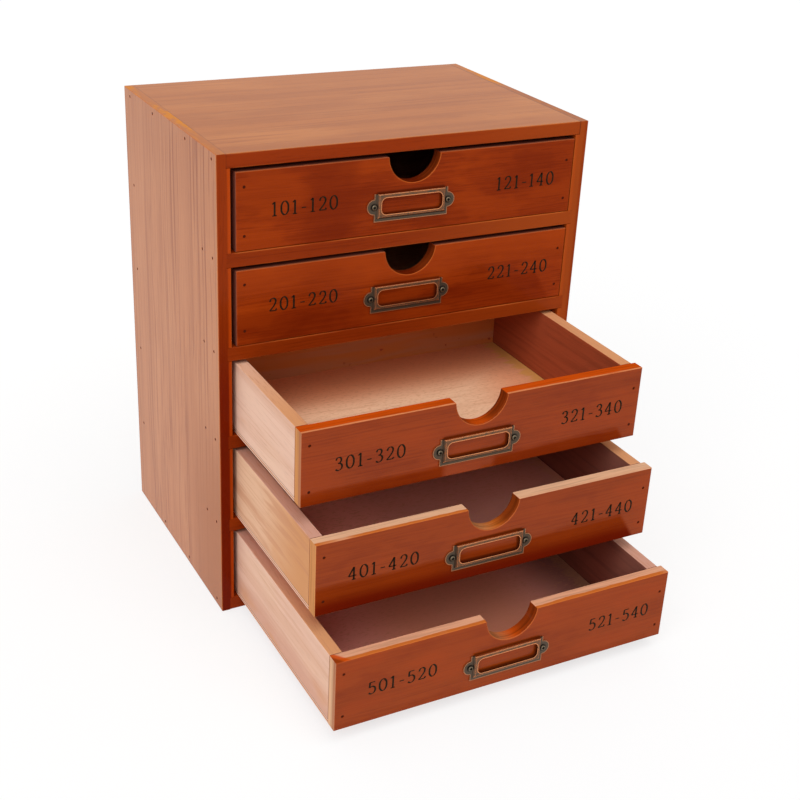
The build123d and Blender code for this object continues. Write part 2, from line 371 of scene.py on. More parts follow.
class Board(Part):
    """Recipe of one board, with the fields of its grain and the distance to its arrises."""

    def __init__(self, node, grain, seed, wander=7.0):
        super().__init__(node, seed)
        gaps = [self.from_ends(axis) for axis in (X, Y, Z)]
        self.arris_gap = gaps[X].least(gaps[Y]).most(gaps[X].most(gaps[Y]).least(gaps[Z]))
        self.grain = grain
        drift = (self.spots(self.axes(130.0, 45.0), 1.0) - 0.5) * wander
        spread = [drift] * 3
        spread[grain] = 0.0
        shift = self.node("ShaderNodeCombineXYZ", None, dict(enumerate(spread)))
        self.running = self.vector("ADD", self.place, shift)

    def axes(self, along, across):
        """Sizes along and across the grain as sizes along X, Y and Z."""
        sizes = [across] * 3
        sizes[self.grain] = along
        return sizes

    def field(self, along, across, detail=2.0, roughness=0.5):
        """Noise about 0.5 whose marks follow the grain, in millimetres along and across it."""
        return self.noise(self.scaled(self.running, self.axes(along, across)), detail, roughness)

    def worn(self, width, amount):
        """Line along the arrises that comes and goes."""
        line = self.arris_gap.step(width, width * 0.25)
        return line * self.field(45.0, 9.0, 3.0).step(0.3, 0.65) * amount

    def wood(self, body, deep, glow, bands=0.4, patches=0.35, lines=0.35, length=120.0, width=1.1, flecks=0.25):
        """Colour of a board: soft bands of grain, lighter patches, fine dark lines and short pores."""
        colour = self.blend(body, deep, self.field(350.0, 13.0, 3.0).step(0.42, 0.68) * bands)
        colour = colour.to(glow, self.field(95.0, 34.0).step(0.45, 0.72) * patches)
        self.fine = self.field(length, width, 2.0, 0.6).step(0.55, 0.67)
        colour = colour.to(deep, self.fine * lines)
        self.pores = self.field(11.0, 0.6, 1.0).step(0.58, 0.7)
        return colour.to(colour.shade(0.55), self.pores * flecks)

    def finish(self, colour, roughness, coat, depth=0.05, specular=0.0):
        """Hands the finished material to the board."""
        height = 1.0 - self.pores * 0.5 - self.fine * 0.5
        cover(self.object, self.surface({
            "Base Color": colour, "Roughness": roughness, "Coat Weight": coat, "Coat Roughness": COAT_ROUGHNESS,
            "Specular IOR Level": specular, "Normal": self.bump(height, depth),
        }))

    def leave_bare(self, colour, depth=0.05):
        """Hands a material without polish to the board."""
        self.finish(colour, BARE_ROUGHNESS, 0.0, depth, BARE_SPECULAR)


def cover(part, material):
    """Gives a part one material in all of its slots."""
    if not part.material_slots:
        part.data.materials.append(material)
    for slot in part.material_slots:
        slot.material = material


def add(name, data):
    """New object in the scene that holds the data."""
    made = bpy.data.objects.new(name, data)
    bpy.context.scene.collection.objects.link(made)
    return made


class Panel(NamedTuple):
    """What one side panel has of its own; places are in millimetres from its front."""

    way: int  # -1 if its outer face points left, 1 if it points right
    seed: float
    shine: float  # strength of the bright strip along its inner front arris
    bare_from: float  # where the golden end grain on its top begins
    bare_to: float  # and where it is full
    brown: float  # strength of the brown stain before that


class CABINET_OT_carcass(bpy.types.Operator):
    """Stain the side panels, top, bottom, rails and runners, and finish the back panel"""

    bl_idname = "cabinet.finish_carcass"
    bl_label = "Finish carcass"

    panels = {
        "side_left": Panel(-1, 1.0, 0.5, 0.0, 75.0, 0.1),
        "side_right": Panel(1, 2.0, 0.2, 40.0, 140.0, 0.45),
    }
    dull, side_polish, top_polish = 0.08, 0.55, 0.42
    roughness, smoothing = 0.55, 0.1
    wear_width = 0.9
    strip = 2.6

    # Heights between which painted shade darkens the left front edge and the side panels get warmer, going down
    dark_from, dark_to = 235.0, 150.0
    warm_from, warm_to = 170.0, 60.0

    # How golden the right half of each rail is
    gilded_rails = (0.8, 0.4, 0.4, 0.4)

    def polished(self, board, colour, mask, polish, depth):
        """Finishes a board that has its polish only where the mask is 1."""
        coat = self.dull + mask * (polish - self.dull)
        board.finish(colour, self.roughness - mask * self.smoothing, coat, depth)

    def side(self, stain, node, panel):
        board = Board(node, Z, panel.seed)
        red = board.wood(stain.front_body, stain.front_deep, stain.front_glow, bands=0.5, patches=0.4).shade(0.92)
        if panel.way < 0:
            inner_gap = board.from_high(X)
            # Painted shade over the lower part of the left front edge
            red = red.to(stain.front_low, board.at[Z].step(self.dark_from, self.dark_to) * 0.85)
        else:
            inner_gap = board.from_low(X)
            red = red.to(stain.edge, 0.85 - board.from_high(X).step(3.2, 1.6) * 0.5)
        red = red.to(stain.bright, inner_gap.step(self.strip, self.strip - 1.0) * panel.shine)

        tan = board.wood(
            stain.side_body, stain.side_deep, stain.side_glow, bands=0.2, length=260.0, width=1.2, flecks=0.2
        )
        lines = board.field(520.0, 3.0, 2.0, 0.6).step(0.55, 0.63) * board.field(700.0, 34.0).step(0.32, 0.6)
        tan = tan.to(stain.side_deep, lines * (board.from_low(Y).step(130.0, 50.0) * 0.3 + 0.6))
        streaks = board.field(380.0, 2.2, 2.0, 0.6).step(0.58, 0.64) * board.field(300.0, 22.0).step(0.4, 0.55)
        tan = tan.to(stain.burnt, streaks * 0.3)
        tan = tan.to(stain.side_deep, board.from_high(Z).step(70.0, 10.0) * 0.18)
        warm = board.at[Z].step(self.warm_from, self.warm_to) * board.from_low(Y).step(90.0, 10.0)
        tan = tan.to(stain.side_low, warm * 0.95)

        bare = board.from_low(Y).step(panel.bare_from, panel.bare_to)
        gold = board.spots((9.0, 44.0, 9.0)).step(0.42, 0.58) * board.spots((4.0, 7.0, 4.0), 3.0).step(0.3, 0.6)
        gold = gold * (bare * 0.75 + 0.25)
        ends = board.blend(stain.top_body, stain.burnt, (1.0 - bare) * panel.brown).to(stain.gold, gold)

        outer, upper = board.faces(X, panel.way), board.top_face()
        colour = red.to(tan, outer).to(ends, upper).to(stain.arris, board.worn(self.wear_width, 0.4))
        veil = outer.most(upper * (0.6 - gold * 0.45))
        self.polished(board, colour, veil, self.side_polish, 0.06)

    def top(self, stain):
        board = Board("top_board", X, 3.0)
        red = board.wood(stain.front_body, stain.front_deep, stain.front_glow)
        red = red.to(stain.edge, board.from_low(X).step(110.0, 230.0) * 0.6)
        tan = board.wood(
            stain.top_body, stain.top_deep, stain.top_glow,
            patches=0.5, lines=0.4, length=200.0, width=3.0, flecks=0.3,
        )
        upper = board.faces(Z, 1)
        colour = red.to(tan, upper).to(stain.arris, board.worn(self.wear_width, 0.4) * self.inland(board))
        right = board.at[X].step(-20.0, 20.0)
        colour = colour.to(stain.pore, board.from_ends(X).step(1.0, 0.3) * (right * 0.35 + 0.25))
        self.polished(board, colour, upper, self.top_polish, 0.05)

    def inland(self, board):
        """1 away from the board's ends, which are let into the side panels."""
        return board.from_ends(board.grain).step(3.0, 8.0)

    def plain(self, stain, node, grain, seed, gilded=0.0):
        board = Board(node, grain, seed)
        colour = board.wood(stain.front_body, stain.front_deep, stain.front_glow).shade(0.88)
        colour = colour.to(stain.edge, board.from_low(X).step(90.0, 220.0) * gilded)
        colour = colour.to(stain.arris, board.worn(self.wear_width, 0.6) * self.inland(board))
        board.finish(colour, self.roughness, self.dull)

    def back(self, raw):
        board = Board("back_panel", X, 5.0)
        board.leave_bare(board.wood(
            raw.ply_body, raw.ply_deep, raw.pale, bands=0.5, patches=0.3, lines=0.4, length=60.0, width=1.3
        ))

    def execute(self, context):
        stain = context.scene.cabinet_stain
        for node, panel in self.panels.items():
            self.side(stain, node, panel)
        self.top(stain)
        self.plain(stain, "bottom_board", X, 4.0)
        for number, gilded in enumerate(self.gilded_rails, 1):
            self.plain(stain, f"rail_{number}", X, 10.0 + number, gilded)
            for hand in ("left", "right"):
                self.plain(stain, f"runner_{number}_{hand}", Y, 20.0 + number)
        self.back(context.scene.cabinet_raw)
        return {"FINISHED"}


class Look(NamedTuple):
    """What one drawer's front has of its own; lengths are in millimetres."""

    top: str  # colour of its top edge
    line: str  # colour of the line along the top edge's front arris
    line_strength: float
    line_width: float
    end: str  # colour of its sawn ends
    strip: str  # colour of the strip along them
    notch: str  # colour of its notch's floor
    polish: float
    reflection_height: float  # height of the band along its lower edge where a dark reflection is painted and the polish is less
    reflection_strength: float
    reflection_low: float  # strength of the painted dark reflection low in that band
    reflection_high: float  # and high in it
    mottle: float  # strength of its lighter and darker patches
    line_right: float = 1.0  # share of the line's strength right of the notch
    reflection_gap: float = 0.0  # half the width of the band's gap near the middle
    bare_notch: float = 0.0  # how bare the left half of its notch is
    cloud: float = 0.0  # strength of the darker patch left of its middle
    dusky: float = 0.0  # strength of the darker stain towards its right end and its upper left corner
    light: float = 0.0  # strength of the painted light along its upper edge
    warm: float = 0.0  # strength of the browner stain all over
    corner: float = 0.0  # strength of the stain spot on its top edge's left corner


class Front(Board):
    """Recipe of one drawer front."""

    notch_width, notch_depth, notch_margin = 34.6, 16.8, 1.2
    cloud_inset, cloud_half, cloud_fade = 60.0, 16.0, 8.0
    frame_lip, frame_side = 4.7, 9.1
    reflection_fade = 2.2
    stop_inset, stop_slant, stop_fade = 8.6, 0.62, 2.0
    gap_shift, gap_fade = 6.0, 3.0

    def __init__(self, colours, number, look):
        super().__init__(f"drawer_{number}_front", X, 30.0 + number, wander=4.0)
        self.colours = colours
        self.look = look
        self.holder = [corner * PER_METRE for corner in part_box(f"drawer_{number}_label_holder")]
        self.middle = (self.low[X] + self.high[X]) / 2
        self.wave = (self.spots((46.0, 46.0, 46.0)) - 0.5) * 16.0

    def frame_shade(self):
        """Shade about the label holder's raised frame: above it, and inside its window on the right and below."""
        low, high = self.holder
        left, right = low[X] + self.frame_side, high[X] - self.frame_side
        from_left, from_right = self.at[X] - left, right - self.at[X]
        up, over = self.at[Z] - low[Z], self.at[Z] - high[Z]
        above = over.step(1.7, 0.5) * over.step(-0.6, 0.0)
        above = above * from_left.step(-3.0, -1.5) * from_right.step(-3.0, -1.5)
        foot = (up - self.frame_lip).step(1.6, 0.2)
        side = from_right.step(1.8, 0.2)
        within = over.step(0.0, -0.2) * from_left.step(-0.2, 0.0) * up.step(0.5, 1.0)
        return above.most(foot.most(side) * within * (self.at[X] - right).step(2.0, 1.0))

    def foot(self):
        """Band along the lower edge where a dark reflection is painted; it stops before the right end on a slant and
        may have a gap.
        """
        look = self.look
        torn = (self.field(40.0, 2.0, 3.0) - 0.5) * 5.0
        height = self.from_low(Z) + self.wave * 0.15 + torn
        band = height.step(look.reflection_height + self.reflection_fade, look.reflection_height - self.reflection_fade)
        stop = self.from_high(X) - self.from_low(Z) * self.stop_slant
        band = band * stop.step(self.stop_inset - self.stop_fade, self.stop_inset + self.stop_fade)
        band = band * look.reflection_strength
        if look.reflection_gap:
            from_gap = abs(self.at[X] - self.middle + self.gap_shift)
            band = band * from_gap.step(look.reflection_gap - self.gap_fade, look.reflection_gap + self.gap_fade)
        return band

    def stained(self, foot):
        """Colour of the stained face, with painted light along its upper edge, a painted reflection low on it and
        painted shade about the label holder.
        """
        look = self.look
        names = ("body", "deep", "glow", "warm", "low")
        body, deep, glow, warm, low = (self.colours[f"front_{name}"] for name in names)
        red = self.wood(body, deep, glow, bands=0.45, patches=0.3, lines=0.5, length=50.0, width=0.9, flecks=0.4)
        red = red.to(warm, look.warm)
        red = red.to(deep, self.field(80.0, 1.1, 1.0).step(0.48, 0.62) * look.mottle * 0.8)
        mottle = self.field(44.0, 17.0, 3.0)
        red = red.to(glow, mottle.step(0.5, 0.64) * look.mottle)
        red = red.to(deep, mottle.step(0.47, 0.36) * look.mottle)
        left_end = self.from_low(X).step(90.0, 25.0) * self.from_low(Z).step(18.0, 34.0)
        red = red.to(deep, self.from_low(X).step(125.0, 215.0).most(left_end * 0.6) * look.dusky)
        # Painted light along the upper edge
        red = red.to(glow, (self.from_high(Z) + self.wave).step(24.0, 6.0) * look.light)
        from_cloud = abs(self.from_low(X) - self.cloud_inset + self.wave)
        cloud = from_cloud.step(self.cloud_half + self.cloud_fade, self.cloud_half - self.cloud_fade)
        red = red.to(deep, cloud * look.cloud)
        # Painted dark reflection of what lies below the front, in the band along its lower edge
        lowest = self.from_low(Z).step(look.reflection_height * 0.75, look.reflection_height * 0.15)
        red = red.to(low, foot * (lowest * (look.reflection_low - look.reflection_high) + look.reflection_high))
        # Painted shade about the label holder's frame, in the seam colour
        return red.to(self.colours["pore"], self.frame_shade() * 0.6)

    def sawn(self):
        """Colour of the sawn ends."""
        strip = self.from_low(Y).step(3.6, 2.6)
        colour = self.blend(self.colours[self.look.end], self.colours[self.look.strip], strip * 0.8)
        return colour.to(colour.shade(0.82), self.spots((9.0, 2.6, 70.0)).step(0.45, 0.65))

    def top_edge(self):
        """Colour of the top edge, with the line along its front arris and the spot on its left corner."""
        look, colours = self.look, self.colours
        top = colours[look.top]
        edge = self.blend(top, self.shade(top, 0.72), self.field(30.0, 1.6, 3.0).step(0.42, 0.7) * 0.8)
        ragged = self.from_low(Y) + (self.field(14.0, 30.0, 3.0) - 0.5) * look.line_width
        broken = ragged.step(look.line_width + 0.3, look.line_width - 0.3) * self.field(40.0, 30.0).step(0.2, 0.42)
        strength = look.line_strength - (self.at[X] - self.middle).step(-2.0, 2.0) * (1.0 - look.line_right)
        edge = edge.to(colours[look.line], broken * strength)
        spot = self.from_low(X) + self.from_low(Y) * 0.8 + self.wave * 0.3
        edge = edge.to(colours["bright"], spot.step(11.0, 8.0) * look.corner)
        return edge.to(colours["burnt"], spot.step(7.0, 4.0) * look.corner * 0.85)

    def hollow(self):
        """Colour of the notch's floor."""
        steep = abs(self.facing[X]).step(0.1, 0.7)
        colour = self.blend(self.colours[self.look.notch], self.colours["burnt"], steep * 0.85 + 0.05)
        left = (self.middle - self.at[X]).step(-6.0, 6.0)
        colour = colour.to(self.colours["amber"], left * self.look.bare_notch)
        return colour.to(colour.shade(0.6), self.spots((60.0, 1.7, 60.0)).step(0.44, 0.6) * 0.9)

    def complete(self):
        """Puts each colour on its faces."""
        face, rear = self.faces(Y, -1), self.faces(Y, 1)
        half = self.notch_width / 2 + self.notch_margin
        near_notch = abs(self.at[X] - self.middle).step(half + 0.2, half)
        notch = (1.0 - face.most(rear)) * near_notch * self.from_high(Z).step(0.35, 0.8)
        ends = self.faces_either(X) * self.from_ends(X).step(*OUTERMOST)

        radius = (self.notch_width**2 / 4 + self.notch_depth**2) / (2 * self.notch_depth)
        centre = Vector((self.middle, 0.0, self.high[Z] - self.notch_depth + radius))
        flat = self.vector("MULTIPLY", self.place, (1.0, 0.0, 1.0))
        reach = self.vector("DISTANCE", flat, centre, out="Value")
        rim = (reach - radius).step(0.75, 0.2) * near_notch * face

        foot = self.foot()
        colour = self.stained(foot).to(self.colours["inner"], rear).to(self.top_edge(), self.top_face())
        colour = colour.to(self.hollow(), notch).to(self.sawn(), ends)
        colour = colour.to(self.colours["arris"], (self.worn(0.6, 0.35) * face).most(rim * 0.75))
        # Less coat in the band of the painted reflection
        lacquer = (face * (1.0 - foot)).most(notch * 0.5) * self.look.polish
        self.finish(colour, 0.7 - face * 0.15, lacquer, 0.04)


class CABINET_OT_fronts(bpy.types.Operator):
    """Stain the drawer fronts, with sawn ends, top edges and notches of their own"""

    bl_idname = "cabinet.finish_fronts"
    bl_label = "Finish drawer fronts"

    looks = {
        # The two upper drawers' top edges and ends take the painted shade edge colour
        1: Look(
            "dusk", "arris", 0.4, 1.4, "dusk", "dusk", "front_deep", 0.07, 4.0, 0.1, 0.6, 0.95, 0.45,
            cloud=0.5, dusky=0.3,
        ),
        2: Look(
            "dusk", "arris", 0.4, 1.4, "dusk", "dusk", "front_deep", 0.07, 20.0, 0.4, 0.6, 0.95, 0.5,
            cloud=0.1, light=0.6,
        ),
        3: Look(
            "bright", "pine", 0.6, 1.3, "amber", "russet", "bright", 0.3, 8.0, 0.95, 0.5, 0.4, 0.25,
            reflection_gap=17.0, warm=0.4,
        ),
        4: Look(
            "tan", "gilt", 0.95, 2.2, "amber", "amber", "gilt", 0.3, 18.0, 0.95, 1.0, 0.4, 0.25,
            line_right=0.2, bare_notch=0.6, warm=0.55,
        ),
        5: Look(
            "peach", "gilt", 0.95, 2.7, "tan", "russet", "bright", 0.3, 4.0, 0.2, 0.35, 0.35, 0.25,
            bare_notch=0.45, light=0.1, warm=0.6, corner=0.95,
        ),
    }

    def execute(self, context):
        colours = {}
        for group in (context.scene.cabinet_stain, context.scene.cabinet_raw):
            colours.update({name: getattr(group, name) for name in group.bl_rna.properties.keys()})
        for number, look in self.looks.items():
            Front(colours, number, look).complete()
        return {"FINISHED"}


class CABINET_OT_boxes(bpy.types.Operator):
    """Give the drawer sides, backs and bottoms their unfinished wood and plywood"""

    bl_idname = "cabinet.finish_boxes"
    bl_label = "Finish drawer boxes"

    # Colours of the sides' top edges, at the back and at the front
    tops = {
        (3, "right"): ("pine", "pine"), (4, "left"): ("mauve", "mauve"), (4, "right"): ("pine", "pine"),
        (5, "left"): ("mauve", "pine"), (5, "right"): ("pink", "mauve"),
    }

    # Painted light on the left of the lower drawers' bottoms, painted shade near the front and on the right, and how
    # much more golden they are in the middle
    painted_light_left = {4: 0.35, 5: 0.1}
    dim_front = {4: 0.48, 5: 0.22}
    painted_shade_right = {4: 0.1, 5: 0.6}
    golden = {4: 0.0, 5: 0.4}

    def side(self, stain, raw, number, hand, way):
        board = Board(f"drawer_{number}_side_{hand}", Y, 40.0 + 2 * number + way * 0.5)
        main = raw.straw if number == 4 else raw.pink
        wood = board.wood(main, raw.deep, raw.pale, bands=0.3, lines=0.25, length=90.0, width=1.3, flecks=0.15)
        flame = board.field(70.0, 5.0, 3.0).step(0.5, 0.62)
        if number == 4:
            wood = wood.to(raw.amber, board.from_low(Y).step(80.0, 10.0) * 0.85).to(raw.deep, flame * 0.45)
        if number == 5:
            wood = wood.to(raw.mauve, (board.from_low(Z) + flame * 5.0).step(26.0, 6.0) * 0.6)
        rear, fore = (getattr(raw, name) for name in self.tops.get((number, hand), ("pink", "pine")))
        edge = board.blend(rear, fore, board.from_low(Y).step(150.0, 0.0))
        edge = edge.to(raw.deep, (board.fine * 0.4).most(board.pores * 0.6))
        wash = raw.inner if number < 4 else raw.inner_dim
        inner = board.blend(wash, board.shade(wash, 0.8), board.field(90.0, 4.0, 3.0).step(0.42, 0.65))
        if number >= 4:
            # Painted light towards the front end of the lower drawers' inner faces
            inner = inner.to(raw.mauve, board.from_low(Y).step(50.0, 8.0) * 0.2)
        outer = board.faces(X, way)
        colour = inner.to(wood, outer).to(edge, board.top_face())
        smear = board.spots((20.0, 46.0, 14.0), 3.0).step(0.5, 0.75) * board.from_low(Z).step(26.0, 4.0)
        colour = colour.to(raw.pine, smear * outer * 0.6)
        # Painted shade along the lower edge, where the side meets the bottom
        board.leave_bare(colour.to(stain.pore, board.from_low(Z).step(0.7, 0.2) * 0.6), 0.06)

    def back(self, raw, number):
        board = Board(f"drawer_{number}_back", X, 50.0 + number)
        wood = board.wood(raw.pink, raw.deep, raw.pale, patches=0.3, length=90.0, width=1.3)
        inner = board.blend(raw.gold_pine, raw.deep, board.field(120.0, 9.0, 3.0).step(0.4, 0.65) * 0.6)
        inner = inner.to(raw.inner, board.spots((7.0, 7.0, 5.0), 1.0).step(0.7, 0.78))
        board.leave_bare(wood.to(inner, board.faces(Y, -1)), 0.06)

    def bottom(self, raw, number):
        board = Board(f"drawer_{number}_bottom", X, 60.0 + number)
        sheet = board.wood(
            raw.ply_body, raw.ply_deep, raw.pale, bands=0.25, patches=0.2, lines=0.3, length=40.0, width=1.2
        )
        if number <= 3:
            length = board.high[Y] - board.low[Y]
            # Painted shade: redder towards the back and on the right
            rear = board.from_low(Y).step(length * 0.5, length * 0.8)
            warm = rear.most(board.from_high(X).step(75.0, 25.0) * 0.8)
            sheet = sheet.to(raw.ply_shade_warm, warm * (1.0 if number == 3 else 0.4))
            # Painted light on the left
            sheet = sheet.shade(1.0 + board.from_low(X).step(120.0, 30.0) * 0.15)
            glued = 0.85
        else:
            # Painted shade: the lower drawers' bottoms take the darker, redder plywood
            sheet = sheet.to(raw.ply_shade_dim, 0.9)
            golden = board.from_low(X).step(40.0, 90.0) * board.from_high(X).step(30.0, 80.0)
            sheet = sheet.to(raw.gold_pine, golden * self.golden[number])
            # Painted light on the left, painted shade near the front and on the right
            light = 1.0 + board.from_low(X).step(110.0, 30.0) * self.painted_light_left[number]
            fore = board.from_low(Y).step(85.0, 30.0) * board.from_low(X).step(60.0, 110.0) * self.dim_front[number]
            right = board.from_high(X).step(55.0, 15.0) * self.painted_shade_right[number]
            sheet = sheet.shade(light * (1.0 - fore) * (1.0 - right))
            glued = 0.15
        sheet = sheet.to(raw.ply_deep, board.spots((3.2, 1.3, 3.2)).step(0.5, 0.7) * 0.35)
        torn = (board.spots((40.0, 2.2, 40.0), 3.0) - 0.5) * 22.0
        sheet = sheet.to(raw.glue, (board.from_high(X) + torn).step(19.0, 13.0) * glued)
        edges = 1.0 - board.faces_either(Z)
        layer = abs(board.at[Z] - (board.low[Z] + board.high[Z]) / 2).step(0.5, 0.35)
        board.leave_bare(sheet.to(raw.pink, edges).to(raw.ply_deep, edges * layer))

    def execute(self, context):
        stain = context.scene.cabinet_stain
        raw = context.scene.cabinet_raw
        for number in DRAWERS:
            self.side(stain, raw, number, "left", -1)
            self.side(stain, raw, number, "right", 1)
            self.back(raw, number)
            self.bottom(raw, number)
        return {"FINISHED"}


class CABINET_OT_metal(bpy.types.Operator):
    """Give the label holders and their screws worn bronze, and the nails stained steel"""

    bl_idname = "cabinet.finish_metal"
    bl_label = "Finish metal"

    screw_inset, screw_lift, head_radius = 4.6, 0.7, 1.75
    flange_reach, lip_height, frame_rise = 6.4, 2.0, 1.5
    edge_width = 1.1

    def edges(self, part):
        """1 along the part's edges."""
        rounded = part.node("ShaderNodeBevel", {"samples": 8}, {"Radius": self.edge_width * MM})
        flat = part.node("ShaderNodeNewGeometry", out="Normal")
        return part.vector("DOT_PRODUCT", rounded, flat, out="Value").step(0.995, 0.9)

    def from_axis(self, part, inset, lift):
        """Distance from the axis of the nearer screw: this far from the part's end and above its middle."""
        over = part.from_ends(X) - inset
        up = part.at[Z] - (part.low[Z] + part.high[Z]) / 2 - lift
        across = part.node("ShaderNodeCombineXYZ", None, {0: over, 2: up})
        return part.vector("LENGTH", across, out="Value")

    def bronze(self, part, colour, shine):
        grit = part.spots((0.5, 0.5, 0.5))
        cover(part.object, part.surface({
            "Base Color": colour, "Metallic": 0.85, "Roughness": 0.42 - shine * 0.1 + (grit - 0.5) * 0.2,
            "Normal": part.bump(grit, 0.05),
        }))

    def holder(self, metal, number):
        part = Part(f"drawer_{number}_label_holder", number)
        cloud = part.spots((2.2, 2.2, 2.2), 4.0)
        edges = self.edges(part)
        from_end = part.from_ends(X)
        raised = part.from_low(Y).step(self.frame_rise * 0.7, self.frame_rise * 0.4)
        outer = from_end.step(self.flange_reach - 0.6, self.flange_reach - 1.0)
        outer = outer.most(part.from_low(Z).step(self.lip_height - 0.5, self.lip_height - 0.9))
        rubbed = raised * cloud.step(0.3, 0.6) + cloud.step(0.6, 0.8) * 0.4
        upright = abs(part.facing[Y]).step(0.4, 0.2)
        inside = from_end.step(self.flange_reach + 1.6, self.flange_reach + 2.2) * part.from_high(Z).step(0.9, 1.5)
        # Painted shade on the window's inner walls
        shaded_wall = upright * inside * part.from_low(Z).step(self.lip_height + 1.5, self.lip_height + 2.0)
        fold = edges * (1.0 - outer) * (1.0 - raised)
        shine = edges * raised.most(outer * 0.5) * cloud.step(0.1, 0.35)
        colour = part.blend(metal.patina, metal.brown, rubbed).to(part.shade(metal.brown, 0.35), fold)
        near = self.from_axis(part, self.screw_inset, self.screw_lift)
        shadow = near.step(self.head_radius + 1.1, self.head_radius + 0.3) * 0.6
        self.bronze(part, colour.to(metal.copper, shine).shade(1.0 - shadow.most(shaded_wall * 0.9)), shine)

    def screws(self, metal, number):
        part = Part(f"drawer_{number}_label_screws", 10.0 + number)
        reach = self.from_axis(part, self.head_radius, 0.0)
        ring = reach.step(0.7, 1.0) * reach.step(self.head_radius, self.head_radius - 0.35)
        cloud = part.spots((1.4, 1.4, 1.4), 3.0)
        colour = part.blend(part.shade(metal.screw, 0.35), metal.rubbed, ring * (cloud * 0.6 + 0.6))
        self.bronze(part, colour, ring)

    def steel(self, metal, node):
        part = Part(node, 0.0)
        cloud = part.spots((1.1, 1.1, 1.1), 3.0)
        colour = part.blend(part.shade(metal.nail, 0.6), metal.nail, cloud)
        cover(part.object, part.surface({
            "Base Color": colour, "Roughness": 0.65 + cloud * 0.2, "Specular IOR Level": 0.0,
            "Normal": part.bump(cloud, 0.1),
        }))

    def execute(self, context):
        metal = context.scene.cabinet_metal
        self.steel(metal, "carcass_nails")
        for number in DRAWERS:
            self.holder(metal, number)
            self.screws(metal, number)
            self.steel(metal, f"drawer_{number}_nails")
        return {"FINISHED"}


# Width and pen strokes of each figure, in shares of its height: points of a smooth stroke, or the ends of a line
FIGURES = {
    "0": (0.60, [[
        (0.30, 1.0), (0.11, 0.86), (0.03, 0.5), (0.11, 0.14), (0.30, 0.0), (0.49, 0.14), (0.57, 0.5), (0.49, 0.86),
        (0.30, 1.0),
    ]]),
    "1": (0.44, [[(0.22, 1.0), (0.22, 0.0)], [(0.05, 0.85), (0.22, 1.0)], [(0.05, 0.0), (0.39, 0.0)]]),
    "2": (0.60, [
        [
            (0.06, 0.74), (0.13, 0.93), (0.29, 1.0), (0.46, 0.92), (0.51, 0.74), (0.42, 0.5), (0.23, 0.24),
            (0.04, 0.03),
        ],
        [(0.04, 0.03), (0.52, 0.03)], [(0.52, 0.03), (0.57, 0.17)],
    ]),
    "3": (0.58, [
        [(0.07, 0.8), (0.14, 0.95), (0.28, 1.0), (0.43, 0.92), (0.46, 0.77), (0.38, 0.6), (0.22, 0.54)],
        [(0.22, 0.54), (0.41, 0.5), (0.52, 0.36), (0.51, 0.17), (0.39, 0.03), (0.2, 0.0), (0.04, 0.1)],
    ]),
    "4": (0.62, [
        [(0.41, 1.0), (0.02, 0.3)], [(0.02, 0.3), (0.6, 0.3)], [(0.41, 1.0), (0.41, 0.0)], [(0.27, 0.0), (0.55, 0.0)],
    ]),
    "5": (0.58, [
        [(0.12, 0.98), (0.5, 0.98)], [(0.12, 0.98), (0.09, 0.55)],
        [(0.09, 0.55), (0.25, 0.62), (0.42, 0.57), (0.53, 0.4), (0.51, 0.18), (0.38, 0.03), (0.19, 0.0), (0.04, 0.1)],
    ]),
    "-": (0.42, [[(0.04, 0.38), (0.38, 0.38)]]),
}


